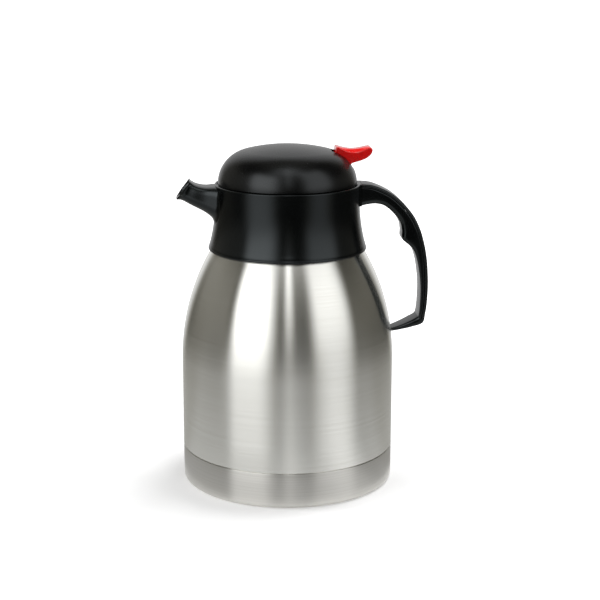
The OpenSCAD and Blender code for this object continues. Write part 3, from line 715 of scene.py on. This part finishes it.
def threadTree():
    # a short spiral with a trapezoid for its section, thinning at both ends, set once for each start
    tree = bpy.data.node_groups.new("threadRibs", "GeometryNodeTree")
    for name, kind in (("Starts", "Int"), ("Radius", "Float"), ("Lead", "Float"), ("Sweep", "Float"),
                       ("Root", "Float"), ("Crest", "Float"), ("Depth", "Float"), ("Base", "Float"),
                       ("Turn", "Float"), ("Facing", "Float"), ("Finish", "Material")):
        tree.interface.new_socket(name, in_out="INPUT", socket_type="NodeSocket" + kind)
    tree.interface.new_socket("Geometry", in_out="OUTPUT", socket_type="NodeSocketGeometry")
    given = addNode(tree, "NodeGroupInput").outputs
    rise = mathNode(tree, "MULTIPLY", given["Lead"], given["Sweep"])
    spiral = addNode(tree, "GeometryNodeCurveSpiral", {
        "Resolution": thread["steps"], "Rotations": given["Sweep"], "Start Radius": given["Radius"],
        "End Radius": given["Radius"], "Height": rise})
    upright = addNode(tree, "GeometryNodeSetCurveNormal", {"Curve": spiral.outputs["Curve"]}, mode="Z_UP")
    along = addNode(tree, "GeometryNodeSplineParameter").outputs["Factor"]
    toEnd = mathNode(tree, "MINIMUM", along, mathNode(tree, "SUBTRACT", 1.0, along))
    thinning = mathNode(tree, "MULTIPLY", toEnd, thread["taper"])
    taper = mathNode(tree, "MINIMUM", mathNode(tree, "ADD", thinning, thread["blunt"]), 1.0)
    tapered = addNode(tree, "GeometryNodeSetCurveRadius", {
        "Curve": upright.outputs["Curve"], "Radius": taper})
    section = addNode(tree, "GeometryNodeCurvePrimitiveQuadrilateral", {
        "Bottom Width": given["Root"], "Top Width": given["Crest"], "Height": given["Depth"],
        "Offset": 0.0}, mode="TRAPEZOID")
    quarter = mathNode(tree, "MULTIPLY", given["Facing"], -math.pi / 2)
    lying = addNode(tree, "ShaderNodeCombineXYZ", {"Z": quarter})
    turned = addNode(tree, "GeometryNodeTransform", {
        "Geometry": section.outputs["Curve"], "Rotation": lying.outputs["Vector"]})
    rib = addNode(tree, "GeometryNodeCurveToMesh", {
        "Curve": tapered.outputs["Curve"], "Profile Curve": turned.outputs["Geometry"],
        "Fill Caps": True})
    height = addNode(tree, "ShaderNodeCombineXYZ", {"Z": given["Base"]})
    places = addNode(tree, "GeometryNodePoints", {
        "Count": given["Starts"], "Position": height.outputs["Vector"]})
    share = mathNode(tree, "DIVIDE", 2 * math.pi, given["Starts"])
    index = addNode(tree, "GeometryNodeInputIndex").outputs["Index"]
    angle = mathNode(tree, "ADD", given["Turn"], mathNode(tree, "MULTIPLY", index, share))
    spin = addNode(tree, "ShaderNodeCombineXYZ", {"Z": angle})
    copies = addNode(tree, "GeometryNodeInstanceOnPoints", {
        "Points": places.outputs["Points"], "Instance": rib.outputs["Mesh"],
        "Rotation": spin.outputs["Vector"]})
    plain = addNode(tree, "GeometryNodeRealizeInstances", {"Geometry": copies.outputs["Instances"]})
    finished = addNode(tree, "GeometryNodeSetMaterial", {
        "Geometry": plain.outputs["Geometry"], "Material": given["Finish"]})
    addNode(tree, "NodeGroupOutput", {"Geometry": finished.outputs["Geometry"]})
    return tree


def makeThread(name, tree, side):
    ribs = bpy.data.objects.new(name, bpy.data.meshes.new(name))
    bpy.context.scene.collection.objects.link(ribs)
    modifier = ribs.modifiers.new("ribs", "NODES")
    modifier.node_group = tree
    sizes = {"Starts": thread["starts"], "Sweep": thread["sweep"], "Facing": float(side["facing"]),
             "Turn": math.radians(side["turn"]), "Radius": side["radius"] * mm,
             "Base": (low("stopper_seal").z + thread["above"]) * mm, "Finish": finishes["dark_plastic"]}
    for size in ("Lead", "Root", "Crest", "Depth"):
        sizes[size] = thread[size.lower()] * mm
    for socket in tree.interface.items_tree:
        if socket.in_out == "INPUT":
            modifier[socket.identifier] = sizes[socket.name]
    settle(ribs)
    shape = bmesh.new()
    shape.from_mesh(ribs.data)
    bmesh.ops.recalc_face_normals(shape, faces=shape.faces)
    shape.to_mesh(ribs.data)
    shape.free()
    return ribs


ribTree = threadTree()
dress(makeThread("stopperThread", ribTree, threadSides["stopperThread"]), "dark_plastic", "lid")
dress(makeThread("sleeveThread", ribTree, threadSides["sleeveThread"]), "dark_plastic", "flask")


# The floor and the light: pale ground, three soft lamps, and a tent that only gloss sees
stageValues = {
    "floor": {"size": 14.0, "colour": (0.80, 0.80, 0.80), "glow": (0.30, 1.0), "reach": (0.14, 0.5)},
    "lamps": [("topLamp", (0.37, 0.25, 1.7), 0.7, 20.0), ("frontLamp", (0.35, -1.5, 1.3), 1.2, 5.5),
              ("sideLamp", (-1.2, 0.1, 0.9), 0.5, 6.0)],
    "world": {"seen": 1.0, "diffuse": 0.27},
    # what gloss sees: a dim tent, and soft boxes by azimuth from the camera's side and by elevation,
    # in degrees, each with the half widths of its soft edges. lean slants a box's two sides as it
    # rises; near and far are what it adds to the ground's glow there, as start, end and glow
    "tent": {"radius": 3.0, "step": 1.5, "rise": 2.5, "dark": 0.03,
             "warm": (1.0, 0.955, 0.81), "warmRange": (0.1, 0.5),
             "ground": {"radii": (0.075, 0.12, 0.2, 0.28, 0.36, 0.44, 0.52, 0.62, 0.8, 1.2, 2.0, 3.0),
                        "edge": (0.24, 0.56), "near": 0.48, "far": 0.02, "soft": 12}},
    "boxes": {
        "leftBox": {"azimuth": (-60, -17.5), "softAzimuth": (6, 11), "lean": (-0.22, -0.06),
                    "elevation": (4, 48), "softElevation": (9, 9), "glow": 2.15,
                    "far": (-63, -23, 0.98)},
        "rightBox": {"azimuth": (30, 75), "softAzimuth": (8, 9), "lean": (0.0, 0.10),
                     "elevation": (4, 58), "softElevation": (6, 9), "glow": 1.18,
                     "near": (35, 62, 0.28), "far": (35, 67, 0.50)},
        "topBox": {"azimuth": (-42, 42), "softAzimuth": (16, 16), "elevation": (53, 80),
                   "softElevation": (8, 8), "glow": 0.72},
        "betweenBoxes": {"azimuth": (-16, 27), "softAzimuth": (8, 8), "elevation": (36, 58),
                         "softElevation": (18, 8), "glow": 0.14},
        "highLamp": {"azimuth": (-4, 8), "softAzimuth": (3, 3), "elevation": (60, 79),
                     "softElevation": (4, 4), "glow": 1.5, "near": (-1, 9, 0.24)},
        "tallStrip": {"azimuth": (-2.5, 6.5), "softAzimuth": (3, 4), "elevation": (20, 60),
                      "softElevation": (22, 8), "glow": 1.25},
        "backBox": {"azimuth": (142, 218), "softAzimuth": (19, 19), "elevation": (2, 63),
                    "softElevation": (24, 8), "glow": 0.66,
                    "near": (95, 255, -0.08), "far": (146, 214, 0.75)},
        "backLow": {"azimuth": (144, 216), "softAzimuth": (8, 8), "elevation": (-20, 7),
                    "softElevation": (1, 7), "glow": 0.55},
        "leftWall": {"azimuth": (-130, -72), "softAzimuth": (8, 6), "elevation": (-4, 36),
                     "softElevation": (8, 8), "glow": 0.20, "far": (-140, -90, 0.06)},
        "rightWall": {"azimuth": (82, 138), "softAzimuth": (5, 8), "elevation": (-8, 24),
                      "softElevation": (6, 8), "glow": 0.11},
        "wholeTop": {"azimuth": (-400, 400), "softAzimuth": (1, 1), "elevation": (66, 120),
                     "softElevation": (10, 1), "glow": 0.14},
    },
    "viewTurn": 4.0,
}


def makeFloor():
    values = stageValues["floor"]
    mesh = bpy.data.meshes.new("floor")
    bm = bmesh.new()
    bmesh.ops.create_circle(bm, cap_ends=True, segments=96, radius=values["size"])
    bm.to_mesh(mesh)
    bm.free()
    floor = bpy.data.objects.new("floor", mesh)
    bpy.context.scene.collection.objects.link(floor)
    material, tree, shader = newMaterial("paleFloor")
    wire(tree, shader, {
        "Base Color": (*values["colour"], 1), "Roughness": 0.9, "Specular IOR Level": 0.0})
    path = addNode(tree, "ShaderNodeLightPath").outputs
    seen = mathNode(tree, "MAXIMUM", path["Is Camera Ray"], path["Is Glossy Ray"])
    seen = mathNode(tree, "MAXIMUM", seen, path["Is Transmission Ray"])
    coords = addNode(tree, "ShaderNodeTexCoord")
    distance = addNode(tree, "ShaderNodeVectorMath", {0: coords.outputs["Object"]}, operation="LENGTH")
    glow = mathNode(tree, "MULTIPLY", seen,
                    spread(tree, distance.outputs["Value"], *values["glow"], *values["reach"]))
    emission = addNode(tree, "ShaderNodeEmission", {"Strength": glow})
    both = addNode(tree, "ShaderNodeAddShader", {
        0: shader.outputs["BSDF"], 1: emission.outputs["Emission"]})
    tree.links.new(both.outputs["Shader"], tree.nodes["Material Output"].inputs["Surface"])
    mesh.materials.append(material)


def softWindow(value, limits, soft):
    # 1 between the limits, 0 outside, with soft edges
    def edge(t):
        t = max(0.0, min(1.0, t))
        return t * t * (3 - 2 * t)
    rise = edge((value - limits[0] + soft[0]) / (2 * soft[0]))
    fall = edge((limits[1] + soft[1] - value) / (2 * soft[1]))
    return rise * fall


def roundWindow(azimuth, limits, soft):
    return max(softWindow(azimuth + turn, limits, soft) for turn in (-360, 0, 360))


def wallGlow(azimuth, elevation):
    total = stageValues["tent"]["dark"]
    for box in stageValues["boxes"].values():
        lean = box.get("lean", (0, 0))
        sides = [side + slope * elevation for side, slope in zip(box["azimuth"], lean)]
        total += (box["glow"] * roundWindow(azimuth, sides, box["softAzimuth"])
                  * softWindow(elevation, box["elevation"], box["softElevation"]))
    return total


def groundGlow(azimuth, radius):
    ground = stageValues["tent"]["ground"]
    level = {}
    for zone in ("near", "far"):
        level[zone] = ground[zone]
        for box in stageValues["boxes"].values():
            if zone in box:
                start, end, glow = box[zone]
                level[zone] += glow * roundWindow(azimuth, (start, end), (ground["soft"],) * 2)
    share = max(0.0, min(1.0, (radius - ground["edge"][0]) / (ground["edge"][1] - ground["edge"][0])))
    return level["near"] + (level["far"] - level["near"]) * share * share * (3 - 2 * share)


def makeTent():
    values = stageValues["tent"]
    columns = round(360 / values["step"])
    rows = round(90 / values["rise"])
    points, faces, glow = [], [], []
    for k in range(columns):
        azimuth = -180 + values["step"] * k
        turn = math.radians(azimuth - stageValues["viewTurn"])
        column = [(r, 0.001, groundGlow(azimuth, r)) for r in values["ground"]["radii"]]
        for row in range(1, rows):
            tilt = math.radians(row * values["rise"])
            column.append((values["radius"] * math.cos(tilt), values["radius"] * math.sin(tilt),
                           wallGlow(azimuth, row * values["rise"])))
        for r, z, brightness in column:
            points.append((r * math.sin(turn), -r * math.cos(turn), z))
            glow.append(brightness)
        a, b = k * len(column), (k + 1) % columns * len(column)
        faces += [(a + i, b + i, b + i + 1, a + i + 1) for i in range(len(column) - 1)]
    mesh = bpy.data.meshes.new("lightTent")
    mesh.from_pydata(points, [], faces)
    mesh.attributes.new("glow", "FLOAT", "POINT").data.foreach_set("value", glow)
    tent = bpy.data.objects.new("lightTent", mesh)
    bpy.context.scene.collection.objects.link(tent)
    material, tree, shader = newMaterial("tentGlow")
    tree.nodes.remove(shader)
    level = addNode(tree, "ShaderNodeAttribute", attribute_name="glow").outputs["Fac"]
    emission = addNode(tree, "ShaderNodeEmission", {
        "Strength": level, "Color": shades(tree, level, values["warm"], (1, 1, 1), *values["warmRange"])})
    tree.links.new(emission.outputs["Emission"], tree.nodes["Material Output"].inputs["Surface"])
    mesh.materials.append(material)
    tent.visible_camera = False
    tent.visible_diffuse = False
    tent.visible_shadow = False
    tent.visible_transmission = False


def makeLamps():
    for name, place, size, watts in stageValues["lamps"]:
        data = bpy.data.lights.new(name, "AREA")
        data.shape = "DISK"
        data.size = size
        data.energy = watts
        lamp = bpy.data.objects.new(name, data)
        bpy.context.scene.collection.objects.link(lamp)
        lamp.location = place
        aim = Vector((0, 0, 0.1)) - Vector(place)
        lamp.rotation_euler = aim.to_track_quat("-Z", "Y").to_euler()
        lamp.visible_glossy = False
        lamp.visible_camera = False


def makeWorld():
    world = bpy.data.worlds.new("studio")
    bpy.context.scene.world = world
    world.use_nodes = True
    tree = world.node_tree
    values = stageValues["world"]
    path = addNode(tree, "ShaderNodeLightPath")
    strength = spread(tree, path.outputs["Is Diffuse Ray"], values["seen"], values["diffuse"], 0.0, 1.0)
    wire(tree, tree.nodes["Background"], {"Color": (1, 1, 1, 1), "Strength": strength})


def makeCamera():
    values = {"focal": 90.0, "distance": 939.9, "height": 347.4, "pitch": 13.78, "shiftX": 0.021}
    turn = math.radians(stageValues["viewTurn"])
    data = bpy.data.cameras.new("camera")
    data.lens = values["focal"]
    data.sensor_width = 36.0
    data.shift_x = values["shiftX"]
    data.clip_start = 0.05
    data.clip_end = 60.0
    camera = bpy.data.objects.new("camera", data)
    bpy.context.scene.collection.objects.link(camera)
    camera.location = Vector((-values["distance"] * math.sin(turn), -values["distance"] * math.cos(turn),
                              values["height"])) * mm
    camera.rotation_euler = (math.radians(90 - values["pitch"]), 0, -turn)
    bpy.context.scene.camera = camera


makeFloor()
makeTent()
makeLamps()
makeWorld()
makeCamera()
bpy.context.scene.view_settings.view_transform = "Standard"
print("stage, light and camera made")
